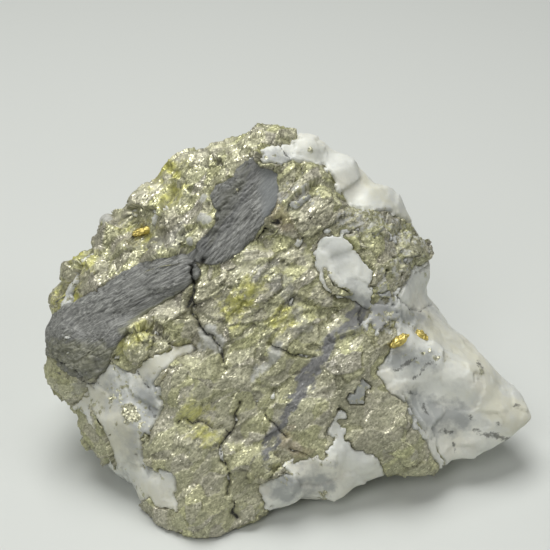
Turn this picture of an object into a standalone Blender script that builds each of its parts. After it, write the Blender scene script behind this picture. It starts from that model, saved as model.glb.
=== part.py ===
"""A hand specimen of gold in quartz: milky quartz, pyrite masses, two slabs of wall rock and grains of gold.

The whole rock is blocked out first, then given its relief, then parted into its minerals.

Lengths are in millimetres and are turned into metres where a mesh is made. The specimen's broken front face
leans back from its foot. Points on that face are (u, v, w): u to the right, v up the face from the foot, and
w out of it.
"""

import math

import bmesh
import bpy
import numpy as np
from mathutils import Matrix, Vector, noise

MM = 0.001

# The broken front face
FACE_LEAN = math.radians(38)
FOOT = np.array([0.0, -20.0, 0.0])
ACROSS = np.array([1.0, 0.0, 0.0])
UP_FACE = np.array([0.0, math.sin(FACE_LEAN), math.cos(FACE_LEAN)])
OUT_OF_FACE = np.array([0.0, -math.cos(FACE_LEAN), math.sin(FACE_LEAN)])

# The main block's rim as the front face shows it, clockwise from the left end
BLOCK_RIM = [
    (-38.5, 27.5, -9), (-38, 34, -9), (-36, 40.5, -9), (-33, 45, -9), (-29, 52.5, -9), (-23, 56.5, -8),
    (-18, 61, -7), (-11.5, 62.5, -6), (-6.5, 65, -6), (-2, 66, -5), (3, 65.5, -4), (7.5, 64.5, -6),
    (11.5, 61.5, -7), (15, 58.5, -8), (19, 55.5, -8), (21.5, 51.5, -9), (25, 47.5, -9), (25.5, 42, -10),
    (26.5, 12.5, -5), (20, 11, -4), (11, 8.5, -4), (4, 5, -3), (-1, 4, -3), (-8.5, 1.5, -2.5),
    (-11.5, 0.5, -1.2), (-15, 1.5, -2), (-17.5, 3, -3), (-20, 5, -4), (-21.5, 8, -5), (-26.5, 13, -6),
    (-31.5, 18.5, -7), (-35, 21.5, -8),
]
# Where the front face turns over towards that rim
BLOCK_SHOULDER = [
    (-34, 32, -3), (-14, 47, 0.8), (-1, 60, 0.8), (5, 60, 0), (16, 49, 0), (19, 40, 0), (20, 30, 0),
    (22, 18, -1), (10, 12, 0), (-5, 8, 0), (-13, 5, 0), (-19, 14, 0), (-27, 24, -1.5),
]
# The back and the base are given as (x, y, z)
BLOCK_BACK = [
    (-24, 30, 33), (-8, 34, 42), (6, 33.5, 41), (18, 28, 34), (-35, 19, 15), (-27, 30, 13), (-6, 37, 19),
    (14, 33, 16), (26, 22, 14),
]
BLOCK_BASE = [
    (-14, -19.5, 0), (-8, -19.8, 0), (2, -13.5, 0), (14, -4, 0), (22, 8, 0), (20, 20, 0), (8, 29, 0),
    (-10, 31, 0), (-24, 25, 0), (-29, 12, 0), (-24, -2, 0), (-19, -14, 0),
]
# The arm that runs out to the right
ARM_FRONT = [
    (18, 44, -4), (20, 14, -3), (26.5, 12, -5), (31.5, 13.5, -6), (34.5, 13.5, -7), (36, 16, -6.5),
    (40, 16.5, -8), (42.8, 18.3, -9), (42.7, 20.8, -10), (38.7, 24.9, -10), (33.8, 29.8, -10),
    (30.6, 34.8, -10), (27.3, 38.9, -10), (24, 42, -8), (25, 28, -2.5), (32, 24, -4.5),
]
ARM_BACK = [
    (42, 4, 11), (37, 13, 9), (31, 17, 17), (24, 22, 24), (27, 23, 6), (24, 2, 2), (34, 4, 6), (12, 24, 8),
]

# Swells and hollows of the front, as (u, v, radius, height)
SWELLS = [
    (-2, 64, 6.5, 2.4), (-9, 60, 4, 0.8), (-15, 58.5, 5.5, 1.9), (-21.5, 54, 4.5, 1.4),
    (-27.5, 51, 3.5, 1.6), (-24, 46.5, 3.5, 1.0), (-31, 43, 4.5, 1.4), (-35.5, 37.5, 3.5, 1.0),
    (-16.5, 51, 4, 1.2), (5.5, 64, 4, 2.2), (11.5, 60, 5.5, 1.5), (17.5, 54.5, 5, 1.0), (-4, 41, 6, 1.0),
    (5, 52, 5.5, 1.0), (3, 33, 6.5, 1.0), (-14, 24, 6, 1.9), (-12, 14, 6.5, 1.1), (-11, 5, 5.5, 1.6),
    (11, 28, 6.5, 1.3), (6, 20, 5.5, 0.8), (20.5, 18, 4.5, 1.2), (-4, 25, 4, 0.8), (8.5, 13.5, 3.5, 1.8),
    (14, 12, 2.5, 1.2), (2, 8.5, 3.5, 1.4), (-24.5, 20, 5, 1.1), (-19, 9, 3.5, 1.0), (33, 27, 5.5, 1.0),
    (36.5, 19, 3.5, 0.9), (22, 37, 3.5, 0.8),
]
HOLLOWS = [
    (-14, 45.5, 1.8, -3.2), (-22, 48, 2, -1.8), (-1, 47, 2.5, -1.8), (-28.5, 27.5, 2.2, -1.5),
    (-32, 24.5, 2.5, -1.4), (23.5, 22, 4.5, -1.3), (-3, 6.5, 2.5, -1.5), (29, 16.5, 3, -1.0),
]

# Where the outline draws in or runs out, seen square to the front face, as (u, v, radius, du, dv)
DRAWN = [
    (2, 67, 13, 0, -1.5), (15, 60, 7, 0.8, 0.9), (26.5, 38, 6, -1.8, -0.6), (31.5, 33, 6.5, -1.1, -1.4),
    (35.5, 27.5, 6, -1.1, -1.4), (40, 23, 6, -0.3, -0.8), (41.5, 18, 5, 0.3, 0.5), (29, 12, 6, 0, -1.4),
    (17.5, 10, 4, 0, 0.9), (0, 4.5, 11, 0.2, 2.3), (-38, 32, 6.5, 1.4, 0), (-28.5, 51, 9, 1.4, -1.2),
    (-17.5, 62, 6, 0.6, -1.1),
]

# The minerals' outlines on the front face
PYRITE_MAIN = [
    (1.5, 59), (4, 59.5), (7, 58.5), (9, 55), (11, 52), (14, 51), (18, 51), (21.5, 50), (26, 46.5),
    (22, 44.5), (19.5, 43), (18, 39.5), (17.5, 36), (17.5, 32), (17, 29.5), (15, 26.5), (18.5, 22.5),
    (21, 18), (23, 15.5), (25.5, 12.5), (25, 8), (19.5, 7.5), (17, 12.5), (15, 14.5), (11, 15.5),
    (11, 19.5), (9.5, 20.5), (8.5, 16), (6.5, 14), (3, 12), (-1, 11.5), (-2.5, 9), (-2, 6.5), (-3, 2),
    (-8, -3), (-18, -3), (-22.5, 4), (-18, 6), (-15.5, 6.5), (-14, 8), (-15, 11), (-19, 12.5), (-20, 14.5),
    (-18.5, 17), (-16, 22.5), (-17, 24.5), (-15, 27), (-11, 30.5), (-13, 32), (-18.5, 30.5), (-21.5, 28),
    (-25.5, 30), (-20.5, 35.5), (-17, 38), (-12, 41.5), (-7.5, 44.5), (-2, 49), (0, 51.5), (1, 55.5),
]
QUARTZ_WINDOW = [
    (5.5, 45.5), (7, 48), (10.5, 48.5), (12.5, 46.5), (13.5, 44), (15.5, 42.5), (16, 39.5), (14.5, 37),
    (12, 37.5), (8.5, 39), (7, 41),
]
PYRITE_UPPER = [
    (-42, 36), (-42, 46), (-32, 58), (-20, 67), (-8, 73), (2, 72), (4, 66.5), (2.5, 63), (-1, 62.5),
    (-3, 61.5), (-6, 58.5), (-9.5, 57), (-10.5, 54.5), (-11, 52), (-12.5, 48.5), (-12.5, 46), (-14.5, 45.5),
    (-20.5, 44), (-26, 41), (-28.5, 39.5), (-33, 37.5), (-38, 35.5),
]
SLAB_LOWER = [
    (-42, 30.5), (-42, 36), (-38, 35.5), (-33, 37.5), (-28.5, 39.5), (-26, 41), (-20.5, 44), (-14.5, 45.5),
    (-12.5, 44), (-11.5, 42.5), (-12, 41.5), (-17, 38), (-20.5, 35.5), (-25.5, 30), (-26.5, 27), (-29, 26),
    (-32.5, 27), (-36, 29.5),
]
SLAB_UPPER = [
    (-3, 61.5), (-1, 62.5), (1.5, 59), (1, 55.5), (0, 51.5), (-2, 49), (-7.5, 44.5), (-11.5, 42.5),
    (-12.5, 44), (-12.5, 46), (-12.5, 48.5), (-11, 52), (-10.5, 54.5), (-9.5, 57), (-6, 58.5),
]
PYRITE_LEFT = [
    (-42, 30.5), (-36, 29.5), (-32.5, 27), (-29, 26), (-30, 23.5), (-31.5, 22), (-29, 18.5), (-26, 15.5),
    (-27, 11), (-35, 13), (-42, 22),
]
# What is parted from the quartz: its outline, how deep it goes, how much it stands out, and its colour,
# roughness and metallic value
MINERALS = {
    "pyrite_main_mass": (PYRITE_MAIN, -8.0, 0.5, (0.42, 0.39, 0.24), 0.35, 1.0),
    "pyrite_upper_mass": (PYRITE_UPPER, -15.0, 0.4, (0.45, 0.42, 0.26), 0.38, 1.0),
    "pyrite_left_edge": (PYRITE_LEFT, -11.0, 0.2, (0.36, 0.34, 0.22), 0.45, 1.0),
    "wall_rock_lower": (SLAB_LOWER, -13.0, 0.9, (0.22, 0.225, 0.22), 0.7, 0.0),
    "wall_rock_upper": (SLAB_UPPER, -6.0, 0.9, (0.18, 0.185, 0.19), 0.7, 0.0),
}
WINDOW_RISE = 0.6
QUARTZ_LOOK = ((0.72, 0.72, 0.66), 0.4, 0.0)
# The gold grains, as (u, v, length, width, height, turn in degrees), and how far their middles stand out
GOLD_GRAINS = {
    "gold_grain_leaf": (19.5, 31.5, 2.6, 1.7, 1.5, 35),
    "gold_grain_right": (23.5, 32.5, 2.3, 1.6, 1.4, -30),
    "gold_grain_left": (-21.5, 49.5, 2.7, 1.5, 1.4, 10),
}
GRAIN_RISE = 0.1
GOLD_LOOK = ((0.83, 0.6, 0.12), 0.28, 1.0)

# How the rock is worked: the grid it is melted on, its triangles, and where its foot is cut flat
GRID = 0.8
ROCK_TRIANGLES = 6200
BASE_CUT = 0.6
# Broken facets, as (size, how steeply they tilt, seed), and the unevenness over them, as (length, height)
FACETS = [(12.0, 0.12, 3), (4.5, 0.13, 11)]
# The facets fade out towards the arm's tip: how far right that begins, and over what length
TIP_FROM = 31
TIP_FADE = 5
UNEVENNESS = (8.0, 0.4)
# The part of a swell's radius that is its flank, and how wide the step is at a raised mineral's outline
ROUND_SHARE = 0.75
STEP_WIDTH = 0.8
# What stays free between two minerals, and how far over the face the minerals' outlines are run
GAP = 0.32
ZONE_TOP = 30.0


def on_face(u, v, w=0.0):
    """A point given on the front face, as (x, y, z)."""
    return FOOT + u * ACROSS + v * UP_FACE + w * OUT_OF_FACE


def mesh_object(name, bm):
    """A new object that holds the bmesh, in the scene."""
    mesh = bpy.data.meshes.new(name)
    bm.to_mesh(mesh)
    bm.free()
    obj = bpy.data.objects.new(name, mesh)
    bpy.context.scene.collection.objects.link(obj)
    return obj


def hull(name, points):
    """The convex block with these corners."""
    bm = bmesh.new()
    for point in points:
        bm.verts.new(Vector(point) * MM)
    made = bmesh.ops.convex_hull(bm, input=bm.verts)
    inside = {item for key in ("geom_interior", "geom_unused") for item in made[key]}
    bmesh.ops.delete(bm, geom=[v for v in bm.verts if v in inside], context="VERTS")
    bmesh.ops.recalc_face_normals(bm, faces=bm.faces)
    return mesh_object(name, bm)


def keep_modified_mesh(obj):
    """The object's mesh becomes what its modifiers make of it."""
    graph = bpy.context.evaluated_depsgraph_get()
    mesh = bpy.data.meshes.new_from_object(obj.evaluated_get(graph))
    obj.modifiers.clear()
    obj.data = mesh


def combine(obj, other, operation):
    """Joins the other solid to the object, cuts it away or keeps what they share."""
    modifier = obj.modifiers.new(operation.lower(), "BOOLEAN")
    modifier.operation = operation
    modifier.object = other
    keep_modified_mesh(obj)
    bpy.data.objects.remove(other)


def outline_distance(u, v, outline):
    """How far each point lies inside the outline, and below zero outside it."""
    corners = np.array(outline)
    inside = np.zeros(len(u), bool)
    nearest = np.full(len(u), np.inf)
    for a, b in zip(corners, np.roll(corners, -1, axis=0)):
        along = b - a
        t = np.clip(((u - a[0]) * along[0] + (v - a[1]) * along[1]) / (along @ along), 0, 1)
        nearest = np.minimum(nearest, np.hypot(u - a[0] - t * along[0], v - a[1] - t * along[1]))
        if a[1] != b[1]:
            crossing = a[0] + (v - a[1]) / along[1] * along[0]
            inside ^= ((a[1] > v) != (b[1] > v)) & (u < crossing)
    return np.where(inside, nearest, -nearest)


def smooth_step(x):
    t = np.clip(x, 0, 1)
    return t * t * (3 - 2 * t)


def facets(points, cell, tilt, seed):
    """Broken facets: in each cell the surface lies on a plane that is tilted its own way."""
    offset = Vector((seed, seed * 1.7, -seed))
    height = np.empty(len(points))
    for i, point in enumerate(points):
        where = Vector(point) / cell + offset
        centre = noise.voronoi(where)[1][0]
        height[i] = (where - centre).dot(noise.cell_vector(centre * 31.7)) * cell * tilt
    return height


def unevenness(points, length, height):
    """Soft rises and falls of that length and height."""
    return np.array([height * noise.fractal(Vector(p) / length, 0.6, 2.0, 3) for p in points])


def block_out():
    """The rock before any relief: its blocks melted together on an even grid."""
    front = [on_face(*p) for p in BLOCK_RIM + BLOCK_SHOULDER]
    rock = hull("rock", front + BLOCK_BACK + BLOCK_BASE)
    combine(rock, hull("arm", [on_face(*p) for p in ARM_FRONT] + ARM_BACK), "UNION")
    remesh = rock.modifiers.new("grid", "REMESH")
    remesh.mode = "VOXEL"
    remesh.voxel_size = GRID * MM
    keep_modified_mesh(rock)
    return rock


def give_relief(rock):
    """Moves the rock's surface in and out along its normals."""
    count = len(rock.data.vertices)
    points = np.empty(count * 3)
    normals = np.empty(count * 3)
    rock.data.vertices.foreach_get("co", points)
    rock.data.vertices.foreach_get("normal", normals)
    points = points.reshape(-1, 3) / MM
    normals = normals.reshape(-1, 3)
    local = points - FOOT
    u, v = local @ ACROSS, local @ UP_FACE
    facing = smooth_step(normals @ OUT_OF_FACE / 0.5)

    height = np.zeros(count)
    for centre_u, centre_v, radius, rise in SWELLS + HOLLOWS:
        near = 1 - np.hypot(u - centre_u, v - centre_v) / radius
        height += facing * rise * smooth_step(near / ROUND_SHARE)
    raised = [(outline, rise) for outline, _, rise, *_ in MINERALS.values()]
    for outline, rise in raised + [(QUARTZ_WINDOW, WINDOW_RISE)]:
        height += facing * rise * smooth_step(outline_distance(u, v, outline) / STEP_WIDTH)
    rugged = 1 - smooth_step((u - TIP_FROM) / TIP_FADE)
    for cell, tilt, seed in FACETS:
        height += rugged * facets(points, cell, tilt, seed)
    height += unevenness(points, *UNEVENNESS)
    points += normals * height[:, None]
    for centre_u, centre_v, radius, du, dv in DRAWN:
        share = smooth_step((1 - np.hypot(u - centre_u, v - centre_v) / radius) / ROUND_SHARE)
        points += share[:, None] * (du * ACROSS + dv * UP_FACE)
    rock.data.vertices.foreach_set("co", (points * MM).ravel())


def cut_base(rock):
    """A flat fracture, on which the rock stands."""
    bm = bmesh.new()
    bmesh.ops.create_cube(bm, size=0.2)
    bmesh.ops.translate(bm, vec=(0, 0, BASE_CUT * MM - 0.1), verts=bm.verts)
    combine(rock, mesh_object("below", bm), "DIFFERENCE")


def whole_rock():
    rock = block_out()
    give_relief(rock)
    simplify = rock.modifiers.new("facets", "DECIMATE")
    simplify.ratio = ROCK_TRIANGLES / (2 * len(rock.data.polygons))
    simplify.use_collapse_triangulate = True
    keep_modified_mesh(rock)
    cut_base(rock)
    return rock


def offset_outline(outline, by):
    """The outline moved outwards by a small distance, or inwards where it is negative."""
    corners = np.array(outline, float)
    along = np.roll(corners, -1, axis=0) - corners
    along /= np.hypot(*along.T)[:, None]
    ahead = np.stack([along[:, 1], -along[:, 0]], axis=1)
    area = np.sum(corners[:, 0] * np.roll(corners[:, 1], -1) - corners[:, 1] * np.roll(corners[:, 0], -1))
    outwards = (ahead + np.roll(ahead, 1, axis=0)) * (1 if area > 0 else -1)
    outwards /= np.hypot(*outwards.T)[:, None]
    return corners + outwards * by


def zone(outline, floor, by):
    """The space that a mineral fills: its outline run in from the front down to a floor."""
    bm = bmesh.new()
    bm.faces.new([bm.verts.new((u, v, ZONE_TOP)) for u, v in offset_outline(outline, by)])
    bmesh.ops.triangulate(bm, faces=bm.faces)
    run = bmesh.ops.extrude_face_region(bm, geom=bm.faces[:])
    for item in run["geom"]:
        if isinstance(item, bmesh.types.BMVert):
            item.co.z = floor - by
    for vert in bm.verts:
        vert.co = Vector(on_face(*vert.co)) * MM
    bmesh.ops.recalc_face_normals(bm, faces=bm.faces)
    return mesh_object("zone", bm)


def copy_of(obj, name):
    other = bpy.data.objects.new(name, obj.data.copy())
    bpy.context.scene.collection.objects.link(other)
    return other


def mineral_space(name, by):
    """A mineral's zone, with the quartz window left out of the main pyrite."""
    outline, floor, *_ = MINERALS[name]
    space = zone(outline, floor, by)
    if name == "pyrite_main_mass":
        combine(space, zone(QUARTZ_WINDOW, floor - 10, -by), "DIFFERENCE")
    return space


def surface_at(rock, u, v):
    """How far out of the front face the rock's surface lies there."""
    start = Vector(on_face(u, v, ZONE_TOP)) * MM
    _, hit, _, _ = rock.ray_cast(start, -Vector(OUT_OF_FACE))
    return (np.array(hit) / MM - FOOT) @ OUT_OF_FACE


def gold_grain(name, w, grain, grow=0.0):
    """A hackly little lump with its middle at that height, or the larger space that it needs."""
    u, v, length, width, height, turn = grain
    cosine, sine = math.cos(math.radians(turn)), math.sin(math.radians(turn))
    bm = bmesh.new()
    bmesh.ops.create_icosphere(bm, subdivisions=2, radius=0.5)
    for vert in bm.verts:
        jag = 1 + 0.3 * noise.noise(vert.co * 4 + Vector((u, v, 0)))
        a, b, c = np.array(vert.co * jag) * (length + grow, width + grow, height + grow)
        vert.co = Vector(on_face(u + a * cosine - b * sine, v + a * sine + b * cosine, w + c)) * MM
    return mesh_object(name, bm)


def add_gold(rock, name, grain):
    """Sets a gold grain in the rock's surface, in pockets that are cut out of what holds it."""
    w = surface_at(rock, grain[0], grain[1]) + GRAIN_RISE
    for holder in ("quartz_matrix", "pyrite_upper_mass"):
        combine(bpy.data.objects[holder], gold_grain("pocket", w, grain, grow=2 * GAP), "DIFFERENCE")
    give_material(gold_grain(name, w, grain), *GOLD_LOOK)


def give_material(obj, colour, roughness, metallic):
    material = bpy.data.materials.new(obj.name)
    material.use_nodes = True
    shader = material.node_tree.nodes["Principled BSDF"]
    shader.inputs["Base Color"].default_value = (*colour, 1.0)
    shader.inputs["Roughness"].default_value = roughness
    shader.inputs["Metallic"].default_value = metallic
    obj.data.materials.clear()
    obj.data.materials.append(material)


def part_minerals(rock):
    """Parts the whole rock into its minerals, and leaves the quartz that holds them."""
    quartz = copy_of(rock, "quartz_matrix")
    give_material(quartz, *QUARTZ_LOOK)
    for name, (_, _, _, *look) in MINERALS.items():
        mineral = copy_of(rock, name)
        combine(mineral, mineral_space(name, -GAP / 2), "INTERSECT")
        combine(quartz, mineral_space(name, GAP / 2), "DIFFERENCE")
        give_material(mineral, *look)


def seat(nodes):
    """Puts the origin under the middle of the specimen, on the surface that it stands on."""
    corners = np.array([Vector(corner) for obj in nodes for corner in obj.bound_box])
    low, high = corners.min(axis=0), corners.max(axis=0)
    middle = Vector(((low[0] + high[0]) / 2, (low[1] + high[1]) / 2, low[2]))
    for obj in nodes:
        obj.data.transform(Matrix.Translation(-middle))


def build():
    for old in list(bpy.data.objects):
        bpy.data.objects.remove(old)
    rock = whole_rock()
    bpy.context.view_layer.update()
    part_minerals(rock)
    for name, grain in GOLD_GRAINS.items():
        add_gold(rock, name, grain)
    bpy.data.objects.remove(rock)
    bpy.context.view_layer.update()
    seat(bpy.context.scene.objects[:])


build()
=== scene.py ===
"""The looks of a gold-in-quartz hand specimen.

It has milky quartz, granular pyrite, striated wall rock and grains of gold. Shapes are worked out in numpy,
in millimetres, and turned into metres where a mesh is made. Points on the specimen's leaning front face are
(u, v): u to the right and v up the face, in millimetres from its foot.
"""

import math

import bmesh
import bpy
import numpy as np
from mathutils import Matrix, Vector
from mathutils.bvhtree import BVHTree


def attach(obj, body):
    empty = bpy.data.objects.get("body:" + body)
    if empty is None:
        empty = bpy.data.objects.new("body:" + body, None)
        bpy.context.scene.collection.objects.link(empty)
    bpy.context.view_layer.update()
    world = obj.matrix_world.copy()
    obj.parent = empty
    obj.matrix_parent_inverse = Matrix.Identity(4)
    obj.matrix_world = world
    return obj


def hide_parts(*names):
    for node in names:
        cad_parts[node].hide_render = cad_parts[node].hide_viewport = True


MM = 0.001

# The front face, and the camera that saw it
FACE_LEAN = math.radians(38)
FOOT = np.array([-2.55, -29.08, -0.6])
ACROSS = np.array([1.0, 0.0, 0.0])
UP_FACE = np.array([0.0, math.sin(FACE_LEAN), math.cos(FACE_LEAN)])
OUT_OF_FACE = np.array([0.0, -math.cos(FACE_LEAN), math.sin(FACE_LEAN)])
CAMERA_AT = (-0.00255, -0.17808, 0.1409)
CAMERA_PITCH = math.radians(31.8)
LENS = 85.1
# The specimen's middle, in metres
MIDDLE = (0, 0, 0.02)

# How finely the minerals are worked, in millimetres
QUARTZ_GRID = 0.36
PYRITE_GRID = 0.25
SLAB_GRID = 0.19
GOLD_GRID = 0.06
MOST_TRIANGLES = 190_000

# How much the solids grow to melt into one rock, and how much that rock shrinks again, in millimetres
ROCK_GROWTH = 1.0
ROCK_SHRINKAGE = 0.8
# How much a mineral's solid grows, so that all of its outside reaches the rock's surface
MINERAL_GROWTH = 2.2
GOLD_GROWTH = 0.12
# How deep under the rock's surface the minerals' outlines are read
OUTLINE_DEPTH = 1.4
# How deep the minerals sink: the quartz under others, the pyrite and slabs past their outlines
QUARTZ_SINK = 1.8
PYRITE_SINK = 1.4
PYRITE_UNDER_SLAB = 1.5
SLAB_SINK = 1.9
# The sizes of the pyrite's larger facets, in millimetres, and the seeds that lay them out
BROAD_FACETS = 5.2
SMALL_FACETS = 2.3
BROAD_SEED = 7
SMALL_SEED = 9
# Where a ray that looks for a mineral starts above the rock's surface, and how far it goes
RAY_START = 1.5
RAY_LENGTH = 2.15

MINERAL_NODES = [
    "quartz_matrix", "pyrite_main_mass", "pyrite_upper_mass", "pyrite_left_edge", "wall_rock_lower",
    "wall_rock_upper",
]
CORNERS = [(i, j, k) for i in (0, 1) for j in (0, 1) for k in (0, 1)]
AROUND = [(i, j, k) for i in (-1, 0, 1) for j in (-1, 0, 1) for k in (-1, 0, 1)]

# Cracks, as (width, depth, points on the face)
CRACKS = [
    (0.26, 1.2, [(-13.3, 45.8), (-12.7, 41.2), (-12.9, 39.1), (-13.7, 36.7)]),
    (0.20, 1.2, [(-12.9, 39.0), (-12.9, 35.8), (-11.8, 33.9), (-9.7, 31.6), (-8.6, 30.4), (-8.1, 28.4)]),
    (0.12, 0.9, [(-5.6, 21.7), (-6.1, 20.1), (-5.8, 18.7), (-7.2, 17.0), (-8.4, 15.0), (-8.0, 12.9),
                 (-7.1, 11.3), (-7.1, 9.3), (-7.1, 7.8)]),
    (0.12, 0.7, [(-6.3, 6.6), (-6.2, 5.8), (-6.5, 4.7), (-5.6, 3.7)]),
    (0.08, 0.7, [(-15.1, 18.7), (-13.9, 19.3), (-12.7, 18.7), (-10.9, 18.9), (-9.7, 18.3), (-8.0, 17.9),
                 (-7.3, 17.3)]),
    (0.09, 0.8, [(-1.1, 31.2), (0.2, 30.4), (1.9, 29.6), (3.3, 29.0), (6.1, 29.0)]),
    (0.09, 0.7, [(-1.7, 19.8), (-0.3, 18.7), (0.9, 17.6), (1.7, 16.7)]),
    (0.07, 0.6, [(2.2, 14.7), (3.7, 13.9), (5.3, 13.2)]),
    (0.12, 0.6, [(-36.2, 30.1), (-35.4, 28.9), (-33.6, 27.6), (-31.2, 26.0), (-28.8, 24.1)]),
    (0.08, 0.6, [(-21.7, 26.8), (-20.4, 25.0), (-19.6, 24.2)]),
    (0.08, 0.7, [(-14.6, 48.2), (-12.9, 49.5)]),
    (0.14, 0.9, [(-2.9, 47.7), (-1.1, 49.3), (0.6, 50.8)]),
    (0.08, 0.6, [(19.3, 38.7), (21.2, 37.2), (23.6, 36.8), (26.5, 38.7)]),
]
# The distance from a crack, in half-widths of it, past which it counts as none
NO_CRACK = 6.0
# Pits, as (u, v, radius, depth)
PITS = [(-13.5, 45.7, 0.75, 1.4), (-11.3, 44.0, 0.5, 0.9), (0.3, 50.2, 0.8, 1.0), (-21.7, 48.0, 0.5, 0.7)]
# Stones set in the pyrite, as (u, v, radius, height)
STONES = [(-10.9, 50.5, 1.7, 0.9), (-10.9, 54.0, 1.4, 0.6), (-27.8, 52.0, 1.9, 0.7), (-13.4, 47.3, 1.2, 0.5)]

# Zones of the face, as capsules: (u, v, u, v, radius)
VEIN = [(13.4, 36.4, 11.8, 34.1, 1.6), (11.8, 34.1, 8.1, 31.1, 1.2), (8.1, 31.1, 5.0, 25.4, 1.5),
        (5.0, 25.4, 2.6, 20.9, 1.3), (2.6, 20.9, 0.6, 18.3, 1.1), (0.6, 18.3, -1.9, 12.4, 0.8)]
QUARTZ_IN_PYRITE = [(-1.6, 60.6, 3.0, 61.0, 1.3), (9.8, 17.9, 10.2, 19.2, 1.5), (12.5, 22.3, 13.6, 24.5, 1.3),
                    (9.2, 14.5, 11.5, 15.0, 1.5), (-20.5, 27.0, -16.0, 29.8, 1.8),
                    (-19.0, 9.5, -17.0, 6.5, 1.8)]
QUARTZ_FILM = [(0.4, 29.8, -2.0, 26.9, 1.1), (-2.0, 26.9, -3.6, 25.0, 0.7), (-10.3, 32.8, -9.2, 31.2, 1.5),
               (-11.5, 30.5, -10.6, 30.9, 0.8), (-18.0, 9.5, -17.0, 7.5, 1.4)]
SPECKLED = [(11.8, 50.5, 17.6, 50.2, 2.6), (17.6, 50.2, 24.0, 48.5, 2.6), (20.5, 45.0, 18.0, 40.5, 2.2),
            (17.6, 40.0, 16.4, 35.0, 1.9), (16.4, 35.0, 18.5, 33.5, 1.6), (0.5, 54.0, 4.5, 54.5, 1.8)]
GOLD_BEDS = [(18.6, 30.9, 20.0, 32.1, 1.0), (23.4, 33.0, 24.0, 32.4, 1.0)]
PYRITE_IN_QUARTZ = [(-22.9, 20.7, -22.4, 20.0, 1.6), (5.5, 62.2, 5.6, 62.0, 0.6), (7.7, 7.6, 7.6, 6.5, 0.7),
                    (24.6, 30.6, 24.8, 30.2, 0.5), (33.2, 27.2, 33.4, 26.9, 0.5)]
MOTTLED = [(18.5, 35.5, 25.0, 35.3, 2.0), (19.0, 29.5, 26.5, 29.3, 1.9), (-25.0, 24.0, -20.5, 18.0, 3.5),
           (-18.0, 12.0, -14.5, 14.0, 2.2), (-1.6, 60.6, 2.5, 60.9, 1.0), (24.0, 45.5, 25.5, 41.0, 1.6),
           (13.0, 21.0, 14.0, 25.0, 2.0)]
BLUE_QUARTZ = [(21.5, 20.7, 28.6, 19.6, 2.9), (21.7, 23.2, 24.6, 22.8, 1.3), (18.5, 28.8, 24.0, 28.6, 1.6),
               (12.2, 22.0, 13.8, 24.8, 2.2), (13.5, 37.5, 17.5, 37.0, 2.0), (-19.5, 24.5, -18.6, 12.5, 2.4),
               (-26.5, 24.5, -22.0, 14.0, 2.2), (-2.0, 60.6, 2.0, 60.9, 1.2),
               (18.5, 35.5, 25.0, 35.3, 1.8), (1.5, 8.5, 7.0, 9.5, 2.5), (11.5, 37.5, 13.0, 39.5, 1.5)]
CREAM_QUARTZ = [(34.5, 22.0, 42.5, 19.0, 3.6), (31.0, 31.0, 36.0, 25.0, 2.6), (25.5, 34.5, 30.0, 30.0, 2.2),
                (15.0, 57.5, 24.0, 47.0, 2.0), (-30.0, 24.0, -23.5, 14.5, 3.6), (-19.8, 9.0, -16.5, 7.5, 2.0),
                (-20.5, 27.0, -16.0, 29.8, 2.2)]
DARK_MARKS = [(33.0, 28.3, 33.7, 27.0, 0.30), (38.4, 20.9, 39.7, 20.9, 0.28), (21.1, 23.2, 22.3, 23.5, 0.25),
              (23.4, 21.5, 23.8, 20.3, 0.25), (26.6, 17.5, 27.9, 17.2, 0.30), (31.0, 19.8, 31.2, 18.7, 0.22),
              (28.3, 15.4, 28.5, 14.2, 0.25), (35.2, 18.5, 35.9, 18.3, 0.22), (34.0, 13.4, 34.6, 13.0, 0.25),
              (32.4, 17.9, 38.4, 15.8, 0.35), (19.2, 27.0, 22.5, 29.2, 0.30), (22.0, 26.2, 25.2, 28.4, 0.25),
              (-19.8, 21.5, -18.5, 19.0, 0.30), (-19.0, 14.5, -17.5, 13.0, 0.30)]
TARNISH = [(-18.5, 60.5, -17.0, 59.0, 2.0), (-32.5, 46.2, -30.5, 44.8, 1.8), (-24.2, 31.0, -20.8, 32.6, 1.5),
           (-6.8, 36.4, -4.0, 40.0, 1.9), (-34.6, 38.8, -33.0, 39.4, 1.6), (-23.4, 49.8, -21.0, 48.6, 1.3),
           (-13.0, 20.5, -10.5, 16.5, 1.5), (-16.0, 55.5, -18.0, 54.5, 1.6), (2.0, 36.0, 0.0, 34.0, 1.4)]
BROWNED = [(1.5, 16.5, 4.5, 14.0, 1.6), (-3.0, 57.5, 1.5, 49.5, 1.4)]
GREYED = [(-19.0, 47.2, -15.0, 48.6, 1.6), (-31.5, 24.5, -26.0, 26.5, 1.5), (1.0, 40.5, 4.5, 34.0, 1.5),
          (-3.0, 41.5, -0.5, 43.5, 1.0)]
# Painted highlights: pyrite patches lightened where its broad planes and clusters of grains catch the light
PAINTED_HIGHLIGHTS = [(-5.5, 42.5, -2.5, 45.5, 1.5), (3.0, 45.5, 6.0, 43.5, 1.2), (-13.0, 35.5, -17.0, 36.5, 1.4),
        (-8.0, 47.5, -4.5, 48.5, 0.9), (-24.0, 55.0, -18.0, 57.5, 1.6), (-15.0, 62.0, -9.0, 64.5, 2.2)]
# The upper slab's outline, as points on the face
UPPER_SLAB = [(-3.1, 61.0), (-5.8, 59.5), (-6.8, 57.3), (-9.4, 56.2), (-10.4, 54.4), (-9.2, 51.8),
              (-9.6, 49.8), (-11.8, 47.4), (-13.4, 45.8), (-12.9, 44.2), (-10.1, 43.3), (-5.7, 45.2),
              (-3.1, 47.7), (-1.5, 50.6), (0.2, 52.8), (0.8, 58.3), (-2.1, 58.8)]
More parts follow.
